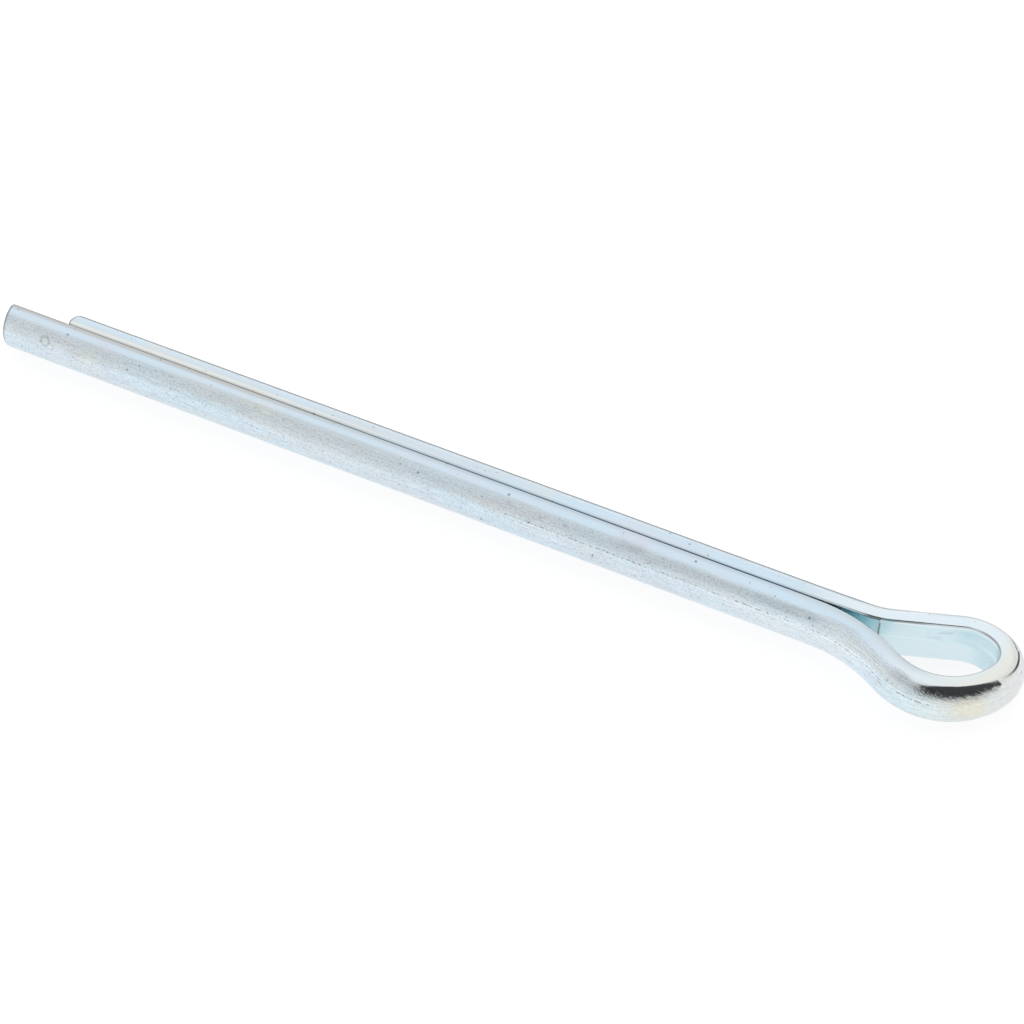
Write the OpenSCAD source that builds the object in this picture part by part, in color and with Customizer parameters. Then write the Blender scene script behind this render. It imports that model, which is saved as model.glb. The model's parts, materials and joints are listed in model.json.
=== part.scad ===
// Cotter pin, also called a split pin: one length of half-round wire folded over on its flat face.
// The two legs lie flat face to flat face and make a round shank, and the fold stays open as the eye.
// The pin lies on its side. X runs up the shank towards the eye, and Z is the axis of the eye's hole.
// The origin is on the shank's axis, where the round shank ends and the wire starts to open into the eye.

/* [Wire] */
// Diameter of the closed shank, which is the width of the wire's flat face
wire_d = 5.7; // [4.7:0.1:6.9]
// Radius of the two edges where the flat face meets the round back
wire_edge_r = 0.3; // [0.05:0.05:0.5]

/* [Legs] */
// Length of the short leg, which is the length of the round shank
short_leg_len = 82; // [40:0.5:140]
// How much further the long leg reaches
leg_step = 6.7; // [0:0.1:12]
// Gap between the flat faces where the round shank ends
neck_gap = 0.1; // [0.06:0.02:0.1]
// Gap between the flat faces at the tip of the short leg
tip_gap = 0.12; // [0.1:0.02:0.4]

/* [Eye] */
// Distance from the end of the round shank to the inside of the eye's far end
eye_len = 19.5; // [19:0.25:25]
// How far the inside of the eye's far end sits to the short leg's side of the shank's axis
eye_lean = 0.75; // [0.5:0.05:1]
// Inside radius of the fold at the eye's far end
fold_r = 1.9; // [1.4:0.1:2.3]

/* [Short leg's side of the eye] */
// Radius of the bend that leaves the shank, at the flat face
short_neck_r = 9; // [7:0.5:11]
// Angle of the straight flank to the shank
short_flank_a = 18.4; // [17.5:0.1:20]
// Inside radius of the shoulder
short_shoulder_r = 3.8; // [3:0.2:4.4]
// Angle that the shoulder turns through before the fold
short_shoulder_turn = 46; // [40:1:60]

/* [Long leg's side of the eye] */
// Radius of the bend that leaves the shank, at the flat face
long_neck_r = 16.5; // [14:0.5:18]
// Angle of the straight flank to the shank
long_flank_a = 29.6; // [28:0.1:33]
// Inside radius of the shoulder
long_shoulder_r = 6; // [5:0.1:6.4]
// Angle that the shoulder turns through before the fold
long_shoulder_turn = 94; // [90:1:106]

/* [Forming marks] */
// Depth to which the mandrel pressed the flat face all round the inside of the eye
mandrel_depth = 0.1; // [0.1:0.02:0.2]
// Length of the mandrel from the inside of the eye's far end to its nose, where its mark begins
mandrel_len = 11.5; // [10.9:0.1:11.7]
// Half angle of the far end that was pressed to a crease on both of its sides
press_half_a = 33; // [25:1:36]
// How far the pressed crease stands out of the round back
crease_h = 0.15; // [0.1:0.01:0.4]
// Angle from the eye's plane up to the pressed crease
crease_a = 47; // [44:1:58]

/* [Hidden] */
// Number of sides that stand for a full circle in a drawn view
$fn = 96;
// How far a cutting shape passes the face it cuts
over = 1;
wire_r = wire_d / 2;
// How far the flat face stops short of the round back's centre. The wire is this much less than half
// round, so that the two legs close to a true round halfway down the shank, gap and all.
flat_set = (neck_gap + tip_gap) / 4;
// How much the wire draws down where it bends, which leaves a fine step at both ends of a bend
draw_down = 0.01;
// Length of a bend's end that is seated inside the wire it joins
seat_len = 0.1;
// Angle by which each leg turns away from the shank's axis
splay_a = atan((tip_gap - neck_gap) / 2 / short_leg_len);
// Angle that the root of a crease spans to each side, and its depth below the round back
crease_root_a = 20;
crease_root_depth = 0.09;

// Direction of the wire where the slight lead-in ends and the neck bend starts
lead_a = 1.2;
// Length of the straight stretch between the lead-in and the neck bend
lead_run = 1;
// Direction of the wire at the middle of the fold, where it turns back
back_a = -90;

// Places in the list that path() returns
LEAD_R = 0;
LEAD_C = 1;
LEAD_END = 2;
NECK_C = 3;
FLANK_START = 4;
FLANK_END = 5;
SHOULDER_C = 6;

mandrel_nose_x = eye_len - mandrel_len;
fold_c = [eye_len - fold_r, eye_lean];
short_fold_a = short_flank_a - short_shoulder_turn;
long_fold_a = long_flank_a - long_shoulder_turn;
short_path = path(eye_lean, short_neck_r, short_flank_a, short_shoulder_r, short_fold_a);
long_path = path(-eye_lean, long_neck_r, long_flank_a, long_shoulder_r, long_fold_a);

// Unit vector of a direction in the eye's plane
function along(a) = [cos(a), sin(a)];

// Unit vector that points out of the eye from wire that runs in direction a
function outward(a) = [-sin(a), cos(a)];

// Angle that a bend of radius r turns through inside the wire it joins
function seat_a(r) = seat_len / r * 180 / PI;

// Flat face of one side's wire, drawn on +Y from the end of the round shank to the eye's far end.
// Each stretch leaves the one before as a tangent: lead-in, neck, straight flank, shoulder and fold.
// The lead-in and the flank take up what the bends leave of the eye's length and lean.
function path(lean, neck_r, flank_a, shoulder_r, fold_a) =
    let (neck_span = neck_r * (outward(lead_a) - outward(flank_a)))
    let (shoulder_span = shoulder_r * (outward(fold_a) - outward(flank_a)))
    let (fold_span = fold_r * (outward(back_a) - outward(fold_a)))
    let (bends_span = neck_span + shoulder_span + fold_span)
    let (left = [eye_len, lean - neck_gap / 2] - lead_run * along(lead_a) - bends_span)
    let (slope = tan((lead_a - splay_a) / 2))
    let (flank_len = (left.y - left.x * slope) / (sin(flank_a) - slope * cos(flank_a)))
    let (lead_len = left.x - flank_len * cos(flank_a))
    let (lead_r = lead_len / (sin(lead_a) + sin(splay_a)))
    let (lead_c = [0, neck_gap / 2] + lead_r * outward(-splay_a))
    let (lead_end = lead_c - lead_r * outward(lead_a))
    let (neck_c = lead_end + lead_run * along(lead_a) + neck_r * outward(lead_a))
    let (flank_start = neck_c - neck_r * outward(flank_a))
    let (flank_end = flank_start + flank_len * along(flank_a))
    let (shoulder_c = flank_end - shoulder_r * outward(flank_a))
    [lead_r, lead_c, lead_end, neck_c, flank_start, flank_end, shoulder_c];

// Removes one sharp edge of a disc that is cut off at x = flat_x, and leaves its rounding
module edge_cut(r, flat_x) {
    edge_x = flat_x + wire_edge_r;
    edge_z = sqrt(pow(r - wire_edge_r, 2) - pow(edge_x, 2));
    back = (r + over) * [edge_x, edge_z] / norm([edge_x, edge_z]);
    difference() {
        polygon([[edge_x, edge_z], [-over, edge_z], [-over, r + over], back]);
        translate([edge_x, edge_z]) circle(r = wire_edge_r);
    }
}

// Section of the wire: its flat face is at x = slim and its round back points to +x
module wire_section(slim = 0) {
    r = wire_r - slim;
    flat_x = flat_set + slim;
    translate([-flat_set, 0])
        difference() {
            circle(r = r);
            translate([flat_x - 2 * wire_d, -wire_d]) square(2 * wire_d);
            edge_cut(r, flat_x);
            mirror([0, 1]) edge_cut(r, flat_x);
        }
}

// Section of one pressed crease, rooted under the round back
module crease_section() {
    root_r = wire_r - crease_root_depth;
    low = root_r * along(crease_a - crease_root_a);
    high = root_r * along(crease_a + crease_root_a);
    translate([-flat_set, 0]) polygon([low, (wire_r + crease_h) * along(crease_a), high]);
}

// Straight wire that starts at a point and runs len in direction a, with its flat face on the path
module straight(start, a, len) {
    translate([start.x, start.y, 0])
        rotate([90, 0, 90 + a])
            linear_extrude(height = len) wire_section();
}

// Section that turns left from direction a to direction b, with its flat face at radius r
module left_bend(centre, r, a, b) {
    translate([centre.x, centre.y, 0])
        rotate_extrude(start = a - 90, angle = b - a)
            translate([r, 0]) mirror([1, 0]) children();
}

// Section that turns right from direction a to direction b, with its flat face at radius r
module right_bend(centre, r, a, b) {
    translate([centre.x, centre.y, 0])
        rotate_extrude(start = b + 90, angle = a - b)
            translate([r, 0]) children();
}

// One side of the pin on +Y, from the tip of its leg to the end of its shoulder
module side(p, leg_len, neck_r, flank_a, shoulder_r, fold_a) {
    leg_run = leg_len / cos(splay_a);
    flank_len = norm(p[FLANK_END] - p[FLANK_START]);
    lead_seat_a = seat_a(p[LEAD_R]);
    neck_seat_a = seat_a(neck_r);
    shoulder_seat_a = seat_a(shoulder_r);

    straight([0, neck_gap / 2] - leg_run * along(-splay_a), -splay_a, leg_run);
    left_bend(p[LEAD_C], p[LEAD_R], -splay_a - lead_seat_a, lead_a + lead_seat_a)
        wire_section(draw_down);
    straight(p[LEAD_END], lead_a, lead_run);
    left_bend(p[NECK_C], neck_r, lead_a - neck_seat_a, flank_a + neck_seat_a)
        wire_section(draw_down);
    straight(p[FLANK_START], flank_a, flank_len);
    right_bend(p[SHOULDER_C], shoulder_r, flank_a + shoulder_seat_a, fold_a - shoulder_seat_a)
        wire_section(draw_down);
}

// Sector of a disc from polar angle a down to polar angle b
module sector(centre, r, a, b) {
    reach = 2 * r;
    translate(centre)
        intersection() {
            circle(r = r);
            polygon([[0, 0], reach * along(a), reach * along((a + b) / 2), reach * along(b)]);
        }
}

// One side of the mandrel on +Y: it follows the inside of the eye, one depth into the wire
module mandrel_side(p, neck_r, flank_a, shoulder_r, fold_a) {
    inset = mandrel_depth * outward(flank_a);
    nose_reach = mandrel_nose_x - p[NECK_C].x;
    nose_y = p[NECK_C].y - sqrt(pow(neck_r - mandrel_depth, 2) - pow(nose_reach, 2));
    polygon([
        [mandrel_nose_x, -neck_gap], [mandrel_nose_x, nose_y],
        p[FLANK_START] + inset, p[FLANK_END] + inset, p[SHOULDER_C], fold_c
    ]);
    sector(p[SHOULDER_C], shoulder_r + mandrel_depth, flank_a + 90, fold_a + 90);
    sector(fold_c, fold_r + mandrel_depth, fold_a + 90, 0);
}

// Mandrel that the eye was formed round
module mandrel() {
    translate([0, 0, -wire_d])
        linear_extrude(height = 2 * wire_d) {
            mandrel_side(short_path, short_neck_r, short_flank_a, short_shoulder_r, short_fold_a);
            mirror([0, 1])
                mandrel_side(long_path, long_neck_r, long_flank_a, long_shoulder_r, long_fold_a);
        }
}

// Creases pressed into both sides of the eye's far end
module creases() {
    for (up = [0, 1])
        mirror([0, 0, up])
            right_bend(fold_c, fold_r, back_a + press_half_a, back_a - press_half_a)
                crease_section();
}

module cotter_pin() {
    color("lightsteelblue")
        union() {
            difference() {
                union() {
                    side(short_path, short_leg_len, short_neck_r, short_flank_a,
                        short_shoulder_r, short_fold_a);
                    right_bend(fold_c, fold_r, short_fold_a, 2 * back_a - long_fold_a)
                        wire_section();
                    mirror([0, 1, 0])
                        side(long_path, short_leg_len + leg_step, long_neck_r, long_flank_a,
                            long_shoulder_r, long_fold_a);
                }
                mandrel();
            }
            creases();
        }
}

cotter_pin();
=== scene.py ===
import json
import math

import bpy
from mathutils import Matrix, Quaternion, Vector


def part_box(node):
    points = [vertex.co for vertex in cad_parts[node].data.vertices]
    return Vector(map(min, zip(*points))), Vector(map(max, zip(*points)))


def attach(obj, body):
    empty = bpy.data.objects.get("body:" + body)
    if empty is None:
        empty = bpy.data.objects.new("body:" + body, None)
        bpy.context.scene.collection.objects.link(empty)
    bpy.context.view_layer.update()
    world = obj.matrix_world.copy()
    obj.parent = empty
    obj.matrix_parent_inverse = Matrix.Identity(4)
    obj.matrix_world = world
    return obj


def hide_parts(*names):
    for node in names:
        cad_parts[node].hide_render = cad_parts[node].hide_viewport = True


MM = 0.001
PIN = "cotter_pin"

# Sizes of the formed wire in millimetres and degrees. CLOSED_GAP, MANDREL_SLOPE, PRESS_FADE_A and TIP_R are
# this mesh's own, and the others are the same as in the part's source. Sizes that the frame gives are
# worked out from it below.

# Gap between the legs' flat faces where the round shank ends, and at the short leg's tip
NECK_GAP = 0.1
TIP_GAP = 0.12
# Gap that the plated legs leave at the short leg's tip
CLOSED_GAP = 0.02
# How far the fold sits to the short leg's side, and its inside radius
EYE_LEAN = 0.75
FOLD_R = 1.9
# Direction of the wire at the middle of the fold and at the end of the lead-in, and the straight after it
BACK_A = -90.0
LEAD_A = 1.2
LEAD_RUN = 1.0
SHORT_LEG = 82.0
# The neck bend, straight flank and shoulder of each side of the eye
SHORT_SIDE = {"neck_r": 9.0, "flank_a": 18.4, "shoulder_r": 3.8, "shoulder_turn": 46.0}
LONG_SIDE = {"neck_r": 16.5, "flank_a": 29.6, "shoulder_r": 6.0, "shoulder_turn": 94.0}
# The mandrel's mark inside the eye: its depth, where it begins and the length of its first slope
MANDREL_DEPTH = 0.1
MANDREL_NOSE_X = 8.0
MANDREL_SLOPE = 0.06
# The crease pressed into the far end: half the angle that it goes round the fold and the angle over which
# it fades out there, then its place, reach and height on the round back, and the depth of its root
PRESS_HALF_A = 33.0
PRESS_FADE_A = 2.5
CREASE_A = 47.0
CREASE_ROOT_A = 20.0
CREASE_H = 0.15
CREASE_ROOT_DEPTH = 0.09
# Rounding of the wire's two long edges, and of the sheared tips
EDGE_R = 0.3
TIP_R = 0.32

# Spacing of the mesh's rings along each kind of stretch
RING_STEP = {"leg": 0.25, "lead": 0.2, "neck": 0.12, "flank": 0.12, "shoulder": 0.09, "fold": 0.06}
# Stretches that the mandrel pressed
PRESSED = ("neck", "flank", "shoulder", "fold")
# Rings that follow a tip's rounding, and the room between them and the next ring
TIP_RINGS = 6
TIP_ROOM = 0.1
# Points round each long edge and across the flat face, and degrees between points on the round back
EDGE_POINTS = 6
FLAT_POINTS = 9
BACK_STEP_A = 4
# Faces that meet at a larger angle than this keep a sharp edge
SHARP_A = 28

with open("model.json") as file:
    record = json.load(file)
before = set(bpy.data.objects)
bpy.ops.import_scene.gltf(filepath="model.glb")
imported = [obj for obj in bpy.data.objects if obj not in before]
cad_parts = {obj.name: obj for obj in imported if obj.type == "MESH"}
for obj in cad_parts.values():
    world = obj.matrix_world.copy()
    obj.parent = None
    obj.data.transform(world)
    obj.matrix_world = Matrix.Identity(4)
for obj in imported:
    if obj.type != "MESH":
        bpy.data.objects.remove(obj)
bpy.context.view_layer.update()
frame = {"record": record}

pin_low, pin_high = (Vector(corner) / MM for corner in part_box(PIN))
WIRE_R = frame["record"]["mounts"][0]["dims"]["r_mm"]
# How far the flat face stops short of the round back's centre
FLAT_SET = (NECK_GAP + TIP_GAP) / 4
EYE_LEN = pin_high.x - WIRE_R + FLAT_SET
LONG_LEG = -pin_low.x
LEG_STEP = LONG_LEG - SHORT_LEG
# Angle by which each leg turns away from the shank's axis, less than 0 because the legs close
SPLAY_A = math.degrees(math.atan((CLOSED_GAP - NECK_GAP) / 2 / SHORT_LEG))


def along(a):
    """Unit vector of direction a."""
    return Vector((math.cos(math.radians(a)), math.sin(math.radians(a))))


def outward(a):
    """Unit vector that points out of the eye from wire that runs in direction a."""
    return Vector((-math.sin(math.radians(a)), math.cos(math.radians(a))))


def share(value):
    """The value, held between 0 and 1."""
    return max(0.0, min(1.0, value))


def side_stretches(lean, leg, neck_r, flank_a, shoulder_r, shoulder_turn):
    """One side's flat face from its tip to the fold, as (kind, length, turn in degrees), left turns
    positive."""
    fold_a = flank_a - shoulder_turn
    bends = neck_r * (outward(LEAD_A) - outward(flank_a))
    bends += shoulder_r * (outward(fold_a) - outward(flank_a))
    bends += FOLD_R * (outward(BACK_A) - outward(fold_a))
    left = Vector((EYE_LEN, lean - NECK_GAP / 2)) - LEAD_RUN * along(LEAD_A) - bends
    slope = math.tan(math.radians((LEAD_A - SPLAY_A) / 2))
    sin_a, cos_a = math.sin(math.radians(flank_a)), math.cos(math.radians(flank_a))
    flank_len = (left.y - left.x * slope) / (sin_a - slope * cos_a)
    lead_len = left.x - flank_len * cos_a
    lead_r = lead_len / (math.sin(math.radians(LEAD_A)) + math.sin(math.radians(SPLAY_A)))
    return [
        ("leg", leg / math.cos(math.radians(SPLAY_A)), 0.0),
        ("lead", lead_r * math.radians(LEAD_A + SPLAY_A), LEAD_A + SPLAY_A),
        ("lead", LEAD_RUN, 0.0),
        ("neck", neck_r * math.radians(flank_a - LEAD_A), flank_a - LEAD_A),
        ("flank", flank_len, 0.0),
        ("shoulder", shoulder_r * math.radians(shoulder_turn), -shoulder_turn),
    ]


def wire_stretches():
    """The whole wire from the short leg's tip round the eye to the long leg's tip."""
    short = side_stretches(EYE_LEAN, SHORT_LEG, **SHORT_SIDE)
    long = side_stretches(-EYE_LEAN, LONG_LEG, **LONG_SIDE)
    short_end = SHORT_SIDE["flank_a"] - SHORT_SIDE["shoulder_turn"]
    long_end = LONG_SIDE["flank_a"] - LONG_SIDE["shoulder_turn"]
    fold_turn = short_end + long_end - 2 * BACK_A
    fold = [("fold", FOLD_R * math.radians(fold_turn), -fold_turn)]
    return short + fold + long[::-1]


def ring_parts(kind, length, first, last):
    """Places of a stretch's rings as parts of its length, closer together where it ends in a tip."""
    count = max(2, math.ceil(length / RING_STEP[kind]))
    parts = [i / count for i in range(count)]
    tip_angles = [math.radians(90 / TIP_RINGS * i) for i in range(1, TIP_RINGS + 1)]
    tip = [TIP_R * (1 - math.cos(a)) / length for a in tip_angles]
    if first:
        parts = [0.0] + tip + [p for p in parts if p > tip[-1] + TIP_ROOM / length]
    if last:
        parts = [p for p in parts if p < 1 - tip[-1] - TIP_ROOM / length] + [1 - p for p in tip[::-1]]
    return parts


def moved(at, a, length, turn, part=1.0):
    """Place and direction after part of a stretch that starts at a place in direction a."""
    if not turn:
        return at + length * part * along(a), a
    radius = length / math.radians(turn)
    end_a = a + turn * part
    return at + radius * outward(a) - radius * outward(end_a), end_a


def wire_rings():
    """Rings along the wire: place and direction of the flat face's middle line, how far along the wire
    each is and the kind of stretch that it is on."""
    start = Vector((-SHORT_LEG, CLOSED_GAP / 2))
    start_a = -SPLAY_A
    run = 0.0
    rings = []
    stretches = wire_stretches()
    for order, (kind, length, turn) in enumerate(stretches):
        for part in ring_parts(kind, length, order == 0, order == len(stretches) - 1):
            at, a = moved(start, start_a, length, turn, part)
            rings.append({"at": at, "a": a, "run": run + length * part, "kind": kind})
        start, start_a = moved(start, start_a, length, turn)
        run += length
    rings.append({"at": start, "a": start_a, "run": run, "kind": kind})
    return rings


def section_points():
    """The wire's section: (out, up, flat) from the upper edge over the round back to the lower edge,
    then back across the flat face, where flat is 1."""
    edge_x = FLAT_SET + EDGE_R
    edge_z = math.sqrt((WIRE_R - EDGE_R) ** 2 - edge_x**2)
    edge_a = math.degrees(math.atan2(edge_z, edge_x))
    edge_out = edge_x - FLAT_SET
    points = []
    for i in range(EDGE_POINTS):
        a = math.radians(180 - (180 - edge_a) * i / EDGE_POINTS)
        points.append((edge_out + EDGE_R * math.cos(a), edge_z + EDGE_R * math.sin(a), 0.0))
    crease = [CREASE_A + CREASE_ROOT_A, CREASE_A, CREASE_A - CREASE_ROOT_A]
    stops = [edge_a] + crease + [-c for c in crease[::-1]] + [-edge_a]
    for first, last in zip(stops, stops[1:]):
        count = max(2, round((first - last) / BACK_STEP_A))
        for i in range(count):
            a = math.radians(first + (last - first) * i / count)
            points.append((WIRE_R * math.cos(a) - FLAT_SET, WIRE_R * math.sin(a), 0.0))
    for i in range(EDGE_POINTS):
        a = math.radians(-edge_a - (180 - edge_a) * i / EDGE_POINTS)
        points.append((edge_out + EDGE_R * math.cos(a), -edge_z + EDGE_R * math.sin(a), 0.0))
    for i in range(FLAT_POINTS):
        points.append((0.0, -edge_z + 2 * edge_z * i / FLAT_POINTS, 1.0))
    return points


def crease_reach(a):
    """Distance from the back's centre to the pressed crease at section angle a, or 0 beside it."""
    off = abs(abs(a) - CREASE_A)
    if off >= CREASE_ROOT_A:
        return 0.0
    root = (WIRE_R - CREASE_ROOT_DEPTH) * along(CREASE_ROOT_A)
    top = Vector((WIRE_R + CREASE_H, 0.0))
    step = root - top
    ray = along(off)
    return (top.x * step.y - top.y * step.x) / (ray.x * step.y - ray.y * step.x)


def shaped(ring, from_tip, out, up, flat):
    """Where a point of the section lies at one ring, as (out, up), once the crease and the mandrel's mark
    are pressed and the tip is rounded."""
    fold_a = (ring["a"] + 180) % 360 - 180
    press = share((PRESS_HALF_A - abs(fold_a - BACK_A)) / PRESS_FADE_A)
    if press and not flat:
        reach = math.hypot(out + FLAT_SET, up)
        wanted = max(reach, crease_reach(math.degrees(math.atan2(up, out + FLAT_SET))))
        grow = 1 + (wanted / reach - 1) * press
        out = (out + FLAT_SET) * grow - FLAT_SET
        up *= grow
    if ring["kind"] in PRESSED:
        out = max(out, MANDREL_DEPTH * share((ring["at"].x - MANDREL_NOSE_X) / MANDREL_SLOPE))
    shrink = TIP_R - math.sqrt(TIP_R**2 - (TIP_R - from_tip) ** 2)
    out -= shrink * (out - WIRE_R / 2) / (WIRE_R / 2)
    up -= shrink * up / WIRE_R
    return out, up


def wire_mesh(rings):
    """The wire's mesh. Each point also holds its own place in the wire, its section angle and whether it
    is on the flat face, which the finish reads."""
    section = section_points()
    end_run = rings[-1]["run"]
    verts, places, angles, flats = [], [], [], []
    for ring in rings:
        from_tip = min(ring["run"], end_run - ring["run"], TIP_R)
        for section_out, section_up, flat in section:
            out, up = shaped(ring, from_tip, section_out, section_up, flat)
            spot = ring["at"] + outward(ring["a"]) * out
            verts.append((spot.x * MM, spot.y * MM, up * MM))
            places.extend((ring["run"], out, up))
            angles.append(math.degrees(math.atan2(section_up, section_out + FLAT_SET)))
            flats.append(flat)
    n = len(section)
    starts = range(0, (len(rings) - 1) * n, n)
    faces = [(i + j, i + n + j, i + n + (j + 1) % n, i + (j + 1) % n) for i in starts for j in range(n)]
    faces.append(tuple(range(n)))
    faces.append(tuple(range(len(rings) * n - 1, (len(rings) - 1) * n - 1, -1)))
    mesh = bpy.data.meshes.new("pin_wire")
    mesh.from_pydata(verts, [], faces)
    for name, kind, field, values in (
        ("wire_place", "FLOAT_VECTOR", "vector", places),
        ("wire_angle", "FLOAT", "value", angles),
        ("wire_flat", "FLOAT", "value", flats),
    ):
        mesh.attributes.new(name, kind, "POINT").data.foreach_set(field, values)
    mesh.shade_smooth()
    mesh.set_sharp_from_angle(angle=math.radians(SHARP_A))
    mesh.validate()
    mesh.update()
    return mesh


class Value:
    """A socket of a finish. Sums written with it add Math nodes to that finish."""

    def __init__(self, finish, socket):
        self.finish = finish
        self.socket = socket

    def __add__(self, other):
        return self.finish.math("ADD", self, other)

    def __sub__(self, other):
        return self.finish.math("SUBTRACT", self, other)

    def __rsub__(self, other):
        return self.finish.math("SUBTRACT", other, self)

    def __mul__(self, other):
        return self.finish.math("MULTIPLY", self, other)

    def __abs__(self):
        return self.finish.math("ABSOLUTE", self)

    __radd__, __rmul__ = __add__, __mul__


class Finish:
    """The nodes of one material or of the studio's surroundings."""

    # Places of the two colours and of the result among a Mix node's sockets
    MIX_FIRST, MIX_SECOND, MIX_RESULT = 6, 7, 2

    def __init__(self, tree):
        self.tree = tree
        tree.nodes.clear()

    def node(self, kind, settings, inputs, out=0):
        """Adds a node with its settings and the values or links of its inputs, and gives one output."""
        made = self.tree.nodes.new(kind)
        for name, setting in settings.items():
            setattr(made, name, setting)
        for name, value in inputs.items():
            if isinstance(value, Value):
                self.tree.links.new(value.socket, made.inputs[name])
            else:
                made.inputs[name].default_value = value
        return Value(self, made.outputs[out]) if made.outputs else None

    def math(self, operation, *terms):
        return self.node("ShaderNodeMath", {"operation": operation}, dict(enumerate(terms)))

    def split(self, vector):
        """The three parts of a vector."""
        parts = self.node("ShaderNodeSeparateXYZ", {}, {"Vector": vector})
        return [Value(self, output) for output in parts.socket.node.outputs]

    def noise(self, place, stretch, shift, scale, detail, roughness):
        """Noise on a place that is first stretched and shifted."""
        settings = {"operation": "MULTIPLY_ADD"}
        place = self.node("ShaderNodeVectorMath", settings, {0: place, 1: stretch, 2: shift})
        inputs = {"Vector": place, "Scale": scale, "Detail": detail, "Roughness": roughness}
        return self.node("ShaderNodeTexNoise", {}, inputs)

    def distance(self, place, spot):
        return self.node("ShaderNodeVectorMath", {"operation": "DISTANCE"}, {0: place, 1: spot}, "Value")

    def ramp(self, value, low, high, start=0.0, end=1.0, shape="SMOOTHSTEP"):
        """Goes from start to end as the value goes from low to high, and stays there beyond them."""
        inputs = {"Value": value, "From Min": low, "From Max": high, "To Min": start, "To Max": end}
        return self.node("ShaderNodeMapRange", {"interpolation_type": shape}, inputs)

    def line(self, value, low, high, start, end):
        """A ramp with a constant slope."""
        return self.ramp(value, low, high, start, end, "LINEAR")

    def near(self, value, middle, gone, full):
        """1 where the value is within full of the middle, and 0 where it is further away than gone."""
        return self.ramp(abs(value - middle), gone, full)

    def mixed(self, factor, first, second):
        """The first colour, mixed with the second by a factor."""
        first, second = (c if isinstance(c, Value) else (*c, 1) for c in (first, second))
        inputs = {"Factor": factor, self.MIX_FIRST: first, self.MIX_SECOND: second}
        return self.node("ShaderNodeMix", {"data_type": "RGBA"}, inputs, self.MIX_RESULT)

    def shaded(self, color, brightness):
        """The colour times a brightness."""
        return self.node("ShaderNodeVectorMath", {"operation": "SCALE"}, {0: color, "Scale": brightness})


# Colours of the zinc plate. PALE_BLUE and BRIGHT_BLUE serve as painted highlights, CYAN and LIGHT_CYAN as
# painted light on the flat face, and PLAIN_GREY, STEEL_BLUE, STONE_GREY and GREEN_GREY as painted shade in
# and beside the gap between the legs
BLUE = (0.655, 0.775, 0.86)
GREY = (0.68, 0.755, 0.81)
CREAM = (0.78, 0.755, 0.68)
LILAC = (0.72, 0.71, 0.80)
YELLOW = (0.80, 0.76, 0.55)
AQUA = (0.66, 0.85, 0.89)
PALE_BLUE = (0.80, 0.88, 0.91)
BRIGHT_BLUE = (0.815, 0.88, 0.905)
DULL_LILAC = (0.735, 0.73, 0.745)
IVORY = (0.80, 0.80, 0.74)
CYAN = (0.765, 0.90, 0.945)
LIGHT_CYAN = (0.72, 0.92, 0.95)
TEAL = (0.52, 0.73, 0.79)
DEEP_TEAL = (0.50, 0.66, 0.73)
PLAIN_GREY = (0.60, 0.615, 0.62)
WARM_WHITE = (0.85, 0.85, 0.82)
STEEL_BLUE = (0.56, 0.62, 0.66)
STONE_GREY = (0.57, 0.565, 0.55)
GREEN_GREY = (0.64, 0.69, 0.68)

# Noises of the plate: how they are stretched in the wire's own (run, out, up) and shifted, then their
# scale, detail and roughness
NOISES = {
    "rub_edge": ((0.25, 1.0, 1.0), (0.0, 0.0, 0.0), 1.0, 3.0, 0.5),
    "cloud": ((0.1, 0.45, 0.45), (0.0, 0.0, 0.0), 1.0, 3.0, 0.5),
    "warmth": ((0.14, 0.3, 0.3), (31.0, 7.0, 2.0), 1.0, 3.0, 0.5),
    "blush": ((0.4, 0.8, 0.8), (5.0, 17.0, 9.0), 1.0, 2.0, 0.5),
    "draw_lines": ((0.07, 1.3, 1.3), (0.0, 0.0, 0.0), 6.0, 4.0, 0.65),
    "grain": ((0.6, 1.0, 1.0), (0.0, 0.0, 0.0), 7.0, 3.0, 0.7),
    "pores": ((0.45, 1.0, 1.0), (0.0, 0.0, 0.0), 3.6, 2.0, 0.5),
    "torn": ((0.8, 1.3, 1.3), (0.0, 0.0, 0.0), 4.0, 2.0, 0.5),
}
# The scratches on the near shoulder run at a slant, which is this turn in radians
SCRATCHES = ((0.5, 1.0, 2.6), (0.0, 0.0, 0.0), 3.2, 4.0, 0.7)
SCRATCH_SLANT = 0.6

# Places along the wire are in mm from the short leg's tip, and angles go from the crown of the round back
# at 0 to the upper edge at 90 and the lower edge at -90.

# Middle of the fold
FOLD_RUN = 101.0
# Bands across the wire: middle, and how far from there the band is gone and is full
BANDS = {
    "far_shoulder": (91.5, 4.5, 2.5),
    "smudge": (97.0, 4.5, 2.0),
    "faint_edge": (97.0, 3.5, 1.5),
    "edge_highlight": (99.0, 18.0, 11.0),
    "clean": (FOLD_RUN, 11.0, 5.0),
    "far_end": (102.3, 2.8, 1.2),
    "crease_bow": (103.0, 1.6, 0.0),
    "eye": (104.5, 7.5, 4.0),
    "creamy": (106.0, 5.5, 2.5),
    "near_shoulder": (106.5, 8.0, 4.5),
    "near_flank": (111.0, 2.6, 1.0),
    "near_neck": (117.5, 10.0, 5.0),
    "torn_row": (131.0, 30.0, 18.0),
}
# Looks that set in or end along the wire: where they are gone and where they are full
ENDS = {
    "short_leg_edge": (50.0, 20.0),
    "inner_edge_start": (88.0, 89.0),
    "crease_start": (101.0, 101.5),
    "crease_end": (104.3, 102.8),
    "long_leg_edge": (109.0, 113.0),
    "near_shank_start": (112.0, 118.0),
    "inner_edge_end": (114.5, 113.0),
    "near_shank_end": (140.0, 128.0),
    "tip_edge": (165.0, 190.0),
}
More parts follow.
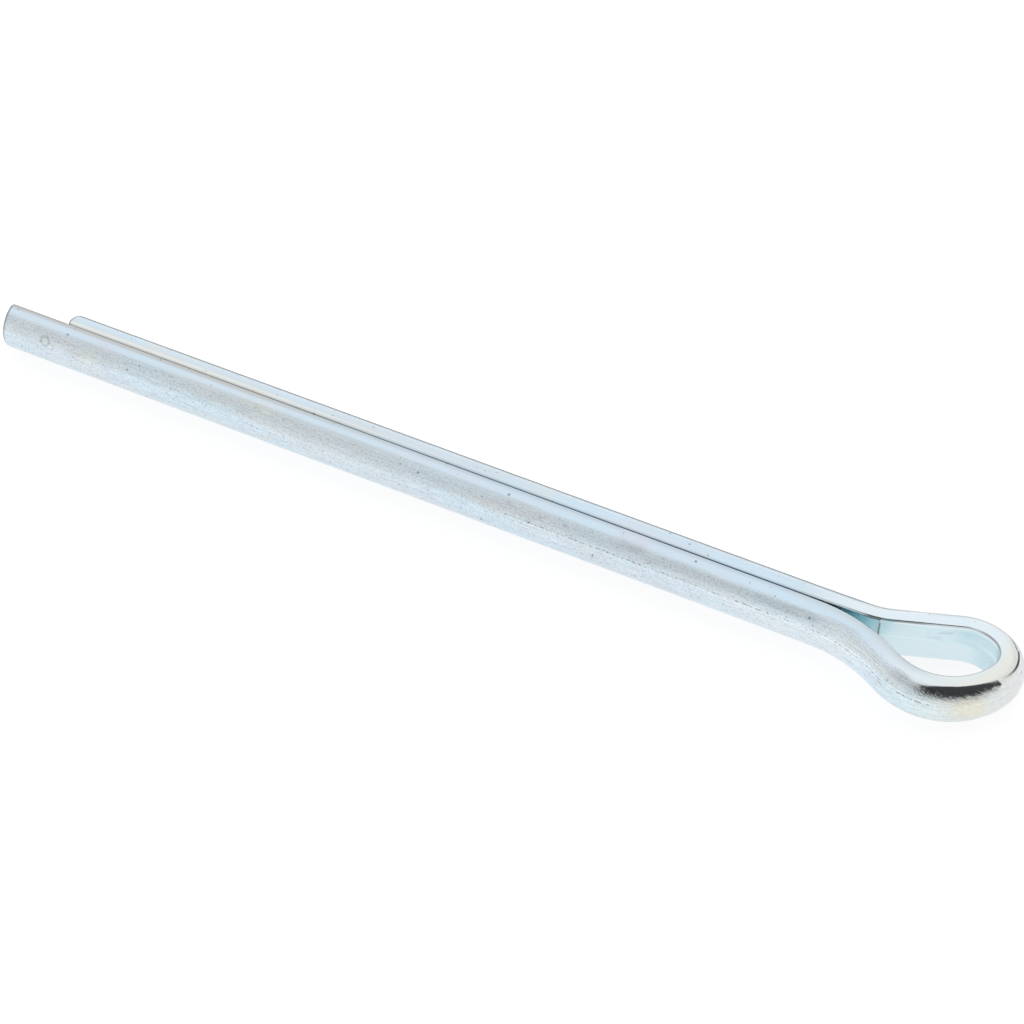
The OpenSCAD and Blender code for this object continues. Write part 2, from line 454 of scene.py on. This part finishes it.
# Looks that set in round the section: the angles where they are gone and where they are full
SIDES = {
    "smudge": (0.0, 50.0),
    "scratches": (60.0, 45.0),
    "scratch_relief": (62.0, 44.0),
    "near_neck": (64.0, 80.0),
    "long_leg_edge": (74.0, 83.0),
    "tip_edge": (74.0, 81.0),
    "upper_edge_shade": (82.0, 87.0),
}
# Angles where the rubbed crown is gone and is full, and how far the noise moves them
CROWN = (74.0, 62.0)
CROWN_RAGGED = 14.0
# Angles where both bright edges of the short leg are gone and are full
BOTH_EDGES = (77.0, 84.0)
# Angles of the painted light and shade bands on the two sides of the eye: middle, and how far it is gone and
# is full
FAR_SHOULDER_A = (50.0, 9.0, 5.0)
NEAR_FLANK_A = (51.0, 9.0, 4.0)
# Where the teal inside of the fold sets in, and how much later for each degree down the flat face
TEAL_START = (97.2, 99.4)
TEAL_SLANT = 0.014
# Distances from the fold's middle where the painted light inside the neck and the painted shade inside the
# legs are gone and are full
INSIDE_NECK = (11.5, 12.5)
INSIDE_LEGS = (17.0, 24.0)
# The row of torn pores: where along the wire it starts and ends, and its angle there
TORN_ROW = (108.0, 160.0, 21.5, 31.0)
# How far the noise moves the row, and how far beside it the pores are gone and are full
TORN_RAGGED = 8.0
TORN_PORES = (2.6, 1.0)
# The bright lip beside the row: its middle, and how far from there it is gone and is full
TORN_LIP = (3.2, 1.6, 0.4)
# The painted shade line along the far end's crease: where along the wire it starts and ends, and its angle
# there
CREASE_LINE = (101.6, 104.4, 46.5, 57.0)
# How far the line bows, and how far beside it the painted shade is gone and is full
CREASE_BOW_A = 2.0
CREASE_WIDTH = (2.6, 1.3)
# Distance from a sheared tip where its dark rim is gone and is full
TIP_RIM = (0.4, 0.15)
# How far before and behind the short leg's tip the painted shade on the long leg's upper edge sets in
UPPER_EDGE_SHADE_FADE = 0.3
# The painted shade line on the eye's inner edge: how far out of the flat face and how far below the widest
# place of the round back it is gone and is full
INNER_EDGE_OUT = (0.25, 0.1)
INNER_EDGE_BELOW = (0.38, 0.28)
# How noises shade the plate: the part of the noise that counts, and the brightness added at its two ends
SHADES = {
    "draw_lines": (0.3, 0.7, -0.08, 0.06),
    "grain": (0.3, 0.56, -0.2, 0.04),
    "pores": (0.27, 0.36, -0.22, 0.0),
}
# Round stains on the back: (place along the wire, angle), how far the noise moves their edge, how far from
# their middle they are gone and are full, strength and colour
STAINS = [
    ((107.0, 20), 1.5, 2.6, 1.2, 0.5, YELLOW),
    ((203.5, 31), 3.0, 3.6, 1.4, 0.25, YELLOW),
    ((110.6, 3), 2.0, 4.0, 2.0, 0.35, AQUA),
]
# Ring-shaped stain on the back: place along the wire, angle and radius. Then how far the noise moves it and
# how far from the ring it is gone and is full
RING_STAIN = (208.6, 33, 0.55)
RING_RAGGED = 0.15
RING_WIDTH = (0.16, 0.06)
# Spots where the plating is dull, in the same measures, and their breadth as a share of their length. Then
# how far the noise moves their edge, and how far beyond their radius they are gone and are full
DULL_PATCHES = [(142, 72, 1.2), (202, 60, 0.5)]
PATCH_SQUEEZE = 0.7
PATCH_RAGGED = 1.4
PATCH_GONE, PATCH_FULL = 1.1, 0.3
# Torn flecks on the near shoulder that scatter light, in the same measures
FLECKS = [(107, 42, 0.18), (106.5, 38, 0.14), (105, 44, 0.2)]
FLECK_RAGGED = 0.2
FLECK_GONE, FLECK_FULL = 0.16, 0.04
# Small specks: how many cells there are to a millimetre, and the specks' radius. Then how far the noise
# moves their edge, and at how many radii they are gone and are full
SPECKS = [(0.8, 0.15), (0.35, 0.22)]
SPECK_RAGGED = 0.1
SPECK_GONE, SPECK_FULL = 1.15, 0.5
# How much each look brightens the plate, or darkens it where less than 0. The far_shoulder and near_shank
# entries are painted light, and near_flank is painted shade
LIGHTER = {
    "far_shoulder": 0.22,
    "near_flank": -0.18,
    "near_shank": 0.07,
    "torn_lip": 0.14,
    "torn_pores": -0.5,
    "ring_stain": -0.2,
}
# Share of the brightness that each dark look takes. The edges share darkens the tip rims and also sets the
# painted shade on the long leg's upper edge and the eye's inner edge, and crease and nose_line are painted
# shade lines
DARK = {"edges": 0.6, "specks": 0.55, "crease": 0.88, "nose_line": 0.65}
# Share of the wear and of the inner edge's painted shade that is missing where they are faint
FAINT = 0.55
# Roughness of the plate, and what each look adds to it
ROUGH = {
    "plate": 0.12,
    "crown": 0.04,
    "draw_lines": 0.14,
    "near_shoulder": -0.05,
    "scratched": 0.3,
    "flecks": 0.6,
    "dull": 0.15,
    "flat": 0.2,
}
# Half the width of the painted shade line at the mandrel's nose
NOSE_LINE = 0.12
# Depth of the plate's relief
RELIEF_DEPTH = 0.012 * MM


def on_back(run, a):
    """Place on the wire's round back, in the wire's own (run, out, up) in millimetres."""
    r = math.radians(a)
    return (run, WIRE_R * math.cos(r) - FLAT_SET, WIRE_R * math.sin(r))


class ZincPlate(Finish):
    """The plate's finish, with the wire's own places and the noises that its looks share."""

    def __init__(self, tree, nose_runs, end_run):
        super().__init__(tree)
        self.nose_runs = nose_runs
        self.end_run = end_run
        self.place = self.attribute("wire_place", "Vector")
        self.angle = self.attribute("wire_angle", "Fac")
        self.flat = self.attribute("wire_flat", "Fac")
        self.round_back = 1 - self.flat
        self.run, self.out, self.up = self.split(self.place)
        self.noises = {name: self.noise(self.place, *terms) for name, terms in NOISES.items()}
        self.bands = {name: self.near(self.run, *terms) for name, terms in BANDS.items()}
        self.ends = {name: self.ramp(self.run, *terms) for name, terms in ENDS.items()}
        self.sides = {name: self.ramp(self.angle, *terms) for name, terms in SIDES.items()}
        # The dies that drew the wire rubbed its crown dull, and the edges beside the flat face stay bright.
        ragged_angle = abs(self.angle) + self.noises["rub_edge"] * CROWN_RAGGED
        self.crown = self.ramp(ragged_angle, *CROWN) * self.round_back
        # Painted highlight on the eye's far shoulder, which lightens both its colour and its brightness
        self.far_shoulder = self.bands["far_shoulder"] * self.near(self.angle, *FAR_SHOULDER_A)
        self.dull = self.dull_patches()

    def attribute(self, name, out):
        return self.node("ShaderNodeAttribute", {"attribute_name": name}, {}, out)

    def dull_patches(self):
        """Dull spots with ragged edges, drawn out along the wire."""
        squeeze = {0: self.place, 1: (PATCH_SQUEEZE, 1.0, 1.0)}
        place = self.node("ShaderNodeVectorMath", {"operation": "MULTIPLY"}, squeeze)
        dull = 0.0
        for run, a, radius in DULL_PATCHES:
            off = self.distance(place, on_back(PATCH_SQUEEZE * run, a))
            off = off + self.noises["rub_edge"] * PATCH_RAGGED
            dull = self.ramp(off, radius + PATCH_GONE, radius + PATCH_FULL) + dull
        return dull

    def plate_tints(self):
        """Warm clouds over the whole plate and a lilac blush on the crown."""
        return [
            (self.ramp(self.noises["warmth"], 0.56, 0.74) * 0.4, CREAM),
            (self.ramp(self.noises["blush"], 0.6, 0.75) * self.crown * 0.35, LILAC),
        ]

    def eye_tints(self):
        """The outside of the eye is warmer on its crown, and painted highlights make its edges and its far
        shoulder brighter.
        """
        edges = 1 - self.crown
        return [
            (self.bands["eye"] * self.crown * 0.45, CREAM),
            # Pale blue on the far shoulder is a painted highlight
            (self.far_shoulder * 0.6, PALE_BLUE),
            # Bright blue on the edges round the eye is a painted highlight
            (self.bands["edge_highlight"] * edges * self.round_back * 0.85, BRIGHT_BLUE),
            (self.bands["far_end"] * self.crown * 0.6, DULL_LILAC),
            (self.bands["creamy"] * edges * self.round_back * 0.55, IVORY),
        ]

    def stains(self):
        tints = []
        for spot, ragged, gone, full, strength, color in STAINS:
            off = self.distance(self.place, on_back(*spot)) + self.noises["warmth"] * ragged
            tints.append((self.ramp(off, gone, full) * strength, color))
        return tints

    def inside_tints(self):
        """The flat face is cyan inside the eye and plain grey inside the legs. The cyan is painted light for
        the pale floor that it mirrors, the neck gets lighter cyan as painted light, and the grey is painted
        shade in the gap between the legs.
        """
        from_fold = abs(self.run - FOLD_RUN)
        teal = self.ramp(self.run + self.angle * TEAL_SLANT, *TEAL_START)
        teal = teal * self.ramp(self.noises["cloud"], 0.25, 0.55)
        smudge = self.ramp(self.noises["blush"], 0.48, 0.66) * self.bands["smudge"] * self.sides["smudge"]
        smudge = smudge * self.ramp(self.noises["grain"], 0.3, 0.6, 0.6, 1.2)
        return [
            # Painted light: cyan for the pale floor that the flat face mirrors inside the eye
            (self.flat * 0.85, CYAN),
            (self.flat * teal * 0.6, TEAL),
            (self.flat * smudge * 0.65, DEEP_TEAL),
            # Painted light in the narrow neck between the legs
            (self.flat * self.ramp(from_fold, *INSIDE_NECK) * 0.7, LIGHT_CYAN),
            # Painted shade: plain grey in the gap between the legs
            (self.flat * self.ramp(from_fold, *INSIDE_LEGS), PLAIN_GREY),
        ]

    def edge_tints(self):
        """The edges beside the flat face change colour along the wire. The warm white is on the short leg's
        edges, and the darker greys on the long leg's upper edge are painted shade along the gap between the
        legs.
        """
        both_edges = self.ramp(abs(self.angle), *BOTH_EDGES)
        tints = [
            (both_edges * self.ends["short_leg_edge"] * 0.8, WARM_WHITE),
            # Painted shade along the gap between the legs, on the long leg's upper edge
            (self.ends["long_leg_edge"] * self.sides["long_leg_edge"] * 0.8, STEEL_BLUE),
            (self.ends["tip_edge"] * self.sides["tip_edge"] * 0.8, STONE_GREY),
            (self.bands["near_neck"] * self.sides["near_neck"] * 0.5, GREEN_GREY),
        ]
        return [(mask * self.round_back, color) for mask, color in tints]

    def wear(self):
        """Draw lines, grain and dirty pores, fainter round the eye."""
        shades = {name: self.ramp(self.noises[name], *terms) for name, terms in SHADES.items()}
        streaks = shades["draw_lines"] * (0.25 + self.crown)
        wear = streaks + self.crown * (shades["grain"] + shades["pores"])
        return wear * (1 - self.bands["clean"] * FAINT)

    def painted_light_bands(self):
        """Painted light and shade: the plate is brighter on the far shoulder and at the near shank's start,
        and darker where the near flank starts."""
        near_flank = self.bands["near_flank"] * self.near(self.angle, *NEAR_FLANK_A)
        near_shank = self.ends["near_shank_start"] * self.ends["near_shank_end"] * self.crown
        light = self.far_shoulder * LIGHTER["far_shoulder"] + near_flank * LIGHTER["near_flank"]
        return light + near_shank * LIGHTER["near_shank"]

    def torn_row(self):
        """A row of torn pores, with a bright lip, along the line where the round back left the die."""
        row_angle = self.line(self.run, *TORN_ROW) - (self.noises["rub_edge"] - 0.5) * TORN_RAGGED
        beside_row = abs(self.angle - row_angle)
        pores = self.ramp(beside_row, *TORN_PORES) * self.ramp(self.noises["torn"], 0.53, 0.61)
        lip = self.near(beside_row, *TORN_LIP) * self.ramp(self.noises["torn"], 0.4, 0.6)
        light = lip * LIGHTER["torn_lip"] + pores * LIGHTER["torn_pores"]
        return light * self.bands["torn_row"]

    def dark_edges(self):
        """The sheared tips are darker at their rims. Painted shade lines lie on the long leg's upper edge
        beyond the short leg and on the eye's inner edge.
        """
        to_end = self.end_run - self.run
        rims = self.ramp(self.run, *TIP_RIM) + self.ramp(to_end, *TIP_RIM)
        upper_edge_shade = self.ramp(to_end, LEG_STEP + UPPER_EDGE_SHADE_FADE, LEG_STEP - UPPER_EDGE_SHADE_FADE)
        rims = rims + upper_edge_shade * self.sides["upper_edge_shade"]
        # Painted shade along the eye's inner edge
        below = WIRE_R - self.up
        inner_edge = self.ramp(self.out, *INNER_EDGE_OUT) * self.ramp(below, *INNER_EDGE_BELOW)
        inner_edge = inner_edge * self.ends["inner_edge_start"] * self.ends["inner_edge_end"]
        inner_edge = inner_edge * (1 - self.bands["faint_edge"] * FAINT)
        return 1 - self.math("MINIMUM", rims, 1.0) * DARK["edges"] - inner_edge * DARK["edges"]

    def specks(self):
        """Small specks lie where the surface happens to pass near the middle of a cell."""
        clean = 1.0
        for scale, radius in SPECKS:
            cells = self.node("ShaderNodeTexVoronoi", {}, {"Vector": self.place, "Scale": scale})
            off = cells + self.noises["grain"] * (SPECK_RAGGED * scale)
            speck = self.ramp(off, radius * SPECK_GONE * scale, radius * SPECK_FULL * scale)
            clean = (1 - speck * self.round_back * DARK["specks"]) * clean
        return clean

    def ring_stain(self):
        run, a, radius = RING_STAIN
        off = self.distance(self.place, on_back(run, a)) + self.noises["grain"] * RING_RAGGED
        return self.near(off, radius, *RING_WIDTH) * LIGHTER["ring_stain"]

    def crease_and_nose_shade(self):
        """Painted shade: dark lines along the far end's crease and where the mandrel's mark begins."""
        crease_angle = self.line(self.run, *CREASE_LINE) - self.bands["crease_bow"] * CREASE_BOW_A
        crease = self.ramp(abs(self.angle - crease_angle), *CREASE_WIDTH)
        shade = 1 - crease * self.ends["crease_start"] * self.ends["crease_end"] * DARK["crease"]
        for nose_run in self.nose_runs:
            nose_line = self.near(self.run, nose_run, NOSE_LINE, NOSE_LINE / 2) * self.flat
            shade = shade * (1 - nose_line * DARK["nose_line"])
        return shade

    def color(self):
        color = self.mixed(self.ramp(self.noises["cloud"], 0.35, 0.65), BLUE, GREY)
        tints = self.plate_tints() + self.eye_tints() + self.stains()
        tints += self.inside_tints() + self.edge_tints()
        tints.append((self.dull * 0.45, LILAC))
        for mask, tint in tints:
            color = self.mixed(mask, color, tint)
        brightness = 1 + self.wear() + self.painted_light_bands() + self.torn_row()
        brightness = brightness * self.dark_edges() * self.specks() + self.ring_stain()
        return self.shaded(color, brightness * self.crease_and_nose_shade())

    def roughness_and_relief(self):
        """The near shoulder is scratched and the rest of the round back has fine draw lines."""
        shoulder, crown = self.bands["near_shoulder"], self.crown
        draw_lines, grain = self.noises["draw_lines"], self.noises["grain"]
        turn = {"Vector": self.place, "Angle": SCRATCH_SLANT}
        slant = self.node("ShaderNodeVectorRotate", {"rotation_type": "Y_AXIS"}, turn)
        scratches = self.noise(slant, *SCRATCHES)
        scratched = self.ramp(scratches, 0.5, 0.62) * shoulder * self.sides["scratches"]
        drawn = crown * (ROUGH["crown"] + draw_lines * ROUGH["draw_lines"]) * (1 - shoulder * 0.9)
        rough = ROUGH["plate"] + drawn + self.dull * ROUGH["dull"] + shoulder * ROUGH["near_shoulder"]
        rough = rough + scratched * ROUGH["scratched"] + self.flat * ROUGH["flat"]
        for run, a, radius in FLECKS:
            off = self.distance(self.place, on_back(run, a)) + scratches * FLECK_RAGGED
            fleck = self.ramp(off, radius + FLECK_GONE, radius + FLECK_FULL)
            rough = rough + fleck * ROUGH["flecks"]
        relief = (0.08 + crown * 0.35) * (draw_lines * 0.5 + grain * 0.5)
        relief = relief + self.sides["scratch_relief"] * shoulder * scratches * 2.4
        return rough, relief


def zinc_plate(nose_runs, end_run):
    material = bpy.data.materials.new("zinc_plate")
    material.use_nodes = True
    plate = ZincPlate(material.node_tree, nose_runs, end_run)
    color = plate.color()
    rough, relief = plate.roughness_and_relief()
    bump = plate.node("ShaderNodeBump", {}, {"Strength": 1.0, "Distance": RELIEF_DEPTH, "Height": relief})
    surface = {"Base Color": color, "Metallic": 1.0, "Roughness": rough, "Normal": bump}
    shader = plate.node("ShaderNodeBsdfPrincipled", {}, surface)
    plate.node("ShaderNodeOutputMaterial", {}, {"Surface": shader})
    return material


def make_wire():
    rings = wire_rings()
    pin = bpy.data.objects.new("pin_wire", wire_mesh(rings))
    bpy.context.scene.collection.objects.link(pin)
    marked = [ring["run"] for ring in rings if ring["at"].x >= MANDREL_NOSE_X]
    nose_runs = [marked[0] - NOSE_LINE, marked[-1] + NOSE_LINE]
    pin.data.materials.append(zinc_plate(nose_runs, rings[-1]["run"]))
    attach(pin, "root")
    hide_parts(PIN)


# The camera's place and aim in the part's own frame, its lens and film width in mm and its roll in degrees
CAMERA_AT = Vector((40.05, -144.66, 199.54)) * MM
CAMERA_AIM = Vector((-30.62, 0.0, -1.34)) * MM
CAMERA_LENS = 90.51
CAMERA_ROLL = -0.547
SENSOR_WIDTH = 36.0
# Nearest distance that the camera sees, in metres
CAMERA_NEAREST = 0.01


def make_camera():
    data = bpy.data.cameras.new("camera")
    data.sensor_width = SENSOR_WIDTH
    data.lens = CAMERA_LENS
    data.clip_start = CAMERA_NEAREST
    camera = bpy.data.objects.new("camera", data)
    bpy.context.scene.collection.objects.link(camera)
    camera.location = CAMERA_AT
    aim = (CAMERA_AIM - CAMERA_AT).to_track_quat("-Z", "Y")
    camera.rotation_euler = (aim @ Quaternion((0, 0, 1), math.radians(CAMERA_ROLL))).to_euler()
    bpy.context.scene.camera = camera


# Light of each part of the studio. Where there are two, it changes from the first on the left to the
# second on the right.
SOFT_BOX = ((0.96, 1.0, 1.04), (1.0, 0.98, 0.93))
BACK_WALL = (1.0, 0.97, 0.93)
LOW_FRONT = ((0.945, 0.925, 0.895), (0.93, 0.91, 0.87))
GREY_SCREEN = ((0.83, 0.82, 0.805), (0.92, 0.91, 0.895))
DARK_STAND = (0.055, 0.055, 0.06)
WHITE = (1.0, 1.0, 1.0)


def make_world():
    """The studio, by direction: x to the right, y away from the camera and z up. Every edge is a soft ramp
    between two values of them."""
    world = bpy.data.worlds.new("studio")
    world.use_nodes = True
    bpy.context.scene.world = world
    studio = Finish(world.node_tree)
    x, y, z = studio.split(studio.node("ShaderNodeTexCoord", {}, {}, "Generated"))

    # A soft box overhead reaches forward to a slanted edge, with a grey screen below it in front.
    box_edge = studio.line(abs(x + 0.35), 0.0, 0.16, -0.16, -0.35)
    in_front = studio.ramp(box_edge - y, -0.05, 0.05)
    screen_foot = studio.line(x, -0.45, -0.15, 0.44, 0.14)
    below_screen = studio.ramp(screen_foot - z, -0.06, 0.06)
    light = studio.mixed(studio.ramp(x, 0.0, 0.45), *SOFT_BOX)
    back = studio.ramp(y, 0.3, 0.55) * studio.ramp(z, 0.25, 0.5) * studio.ramp(x, -0.25, -0.38)
    light = studio.mixed(back, light, BACK_WALL)
    low_front = studio.mixed(studio.ramp(x, -0.1, 0.7), *LOW_FRONT)
    screen = studio.mixed(studio.ramp(x, -0.32, -0.16), *GREY_SCREEN)
    light = studio.mixed(in_front, light, studio.mixed(below_screen, screen, low_front))

    # The camera, its stand and whoever works them are dark, in front and to the right.
    dark = studio.ramp(x, -0.145, -0.1) * studio.ramp(x * 1.1 - y - 0.4, -0.02, 0.02)
    dark = dark * studio.ramp(x * 0.55 - y - 0.3, -0.015, 0.015) * studio.ramp(z, 0.36, 0.46)
    light = studio.mixed(dark, light, DARK_STAND)

    camera_ray = studio.node("ShaderNodeLightPath", {}, {}, "Is Camera Ray")
    seen = studio.mixed(camera_ray, light, WHITE)
    background = studio.node("ShaderNodeBackground", {}, {"Color": seen, "Strength": 1.0})
    studio.node("ShaderNodeOutputWorld", {}, {"Surface": background})


# How far the floor reaches each way, in metres
FLOOR_REACH = 4.0
FLOOR_COLOR = (0.3, 0.3, 0.3, 1.0)
# Glow of the floor as the camera sees it and as the plate mirrors it, and how much of that the pin's painted
# shade takes
FLOOR_SEEN = 0.82
FLOOR_MIRRORED = 0.83
PIN_SHADE = 0.73
# The pin's shade is painted on the floor behind it, and only the plate's reflections show it. Each pair says
# where it is
# gone and where it is full: at its near side, at its far side, round the eye's end, and where it is faint
# beside the eye
SHADE_NEAR = (2 * MM, 4 * MM)
SHADE_FAR = (19 * MM, 12 * MM)
SHADE_END = (22 * MM, 14 * MM)
SHADE_FAINT = (11 * MM, 3 * MM)
# The painted shade bulges beside the eye: middle of the bulge along X, how far from there it is gone and is
# full, and its depth
EYE_BULGE = (11 * MM, 11 * MM, 4 * MM)
EYE_BULGE_DEPTH = 3 * MM


def floor_finish():
    """Pale paper that the camera sees as white, and that the plate mirrors with the pin's shade painted on
    it.
    """
    material = bpy.data.materials.new("white_floor")
    material.use_nodes = True
    paper = Finish(material.node_tree)
    camera_ray = paper.node("ShaderNodeLightPath", {}, {}, "Is Camera Ray")
    glossy_ray = paper.node("ShaderNodeLightPath", {}, {}, "Is Glossy Ray")
    transmission_ray = paper.node("ShaderNodeLightPath", {}, {}, "Is Transmission Ray")
    x, y = paper.split(paper.node("ShaderNodeNewGeometry", {}, {}, "Position"))[:2]
    off = y - paper.near(x, *EYE_BULGE) * EYE_BULGE_DEPTH
    shade = paper.ramp(off, *SHADE_NEAR) * paper.ramp(off, *SHADE_FAR)
    shade = shade * paper.ramp(x - y * 0.5, *SHADE_END) * paper.ramp(x, *SHADE_FAINT, 0.4, 1.0)
    mirrored = glossy_ray * (FLOOR_MIRRORED - shade * PIN_SHADE)
    seen = paper.math("MAXIMUM", camera_ray, transmission_ray) * FLOOR_SEEN + mirrored
    glow = paper.node("ShaderNodeEmission", {}, {"Color": paper.shaded(WHITE, seen), "Strength": 1.0})
    matt = paper.node("ShaderNodeBsdfDiffuse", {}, {"Color": FLOOR_COLOR})
    both = paper.node("ShaderNodeAddShader", {}, {0: glow, 1: matt})
    paper.node("ShaderNodeOutputMaterial", {}, {"Surface": both})
    return material


def make_floor():
    mesh = bpy.data.meshes.new("floor")
    signs = ((-1, -1), (1, -1), (1, 1), (-1, 1))
    corners = [(i * FLOOR_REACH, j * FLOOR_REACH, pin_low.z * MM) for i, j in signs]
    mesh.from_pydata(corners, [], [(0, 1, 2, 3)])
    mesh.materials.append(floor_finish())
    floor = bpy.data.objects.new("floor", mesh)
    bpy.context.scene.collection.objects.link(floor)


# Light bounces often between the two legs
GLOSSY_BOUNCES = 12

make_camera()
make_world()
make_floor()
make_wire()
bpy.context.scene.view_settings.view_transform = "Standard"
bpy.context.scene.cycles.glossy_bounces = GLOSSY_BOUNCES
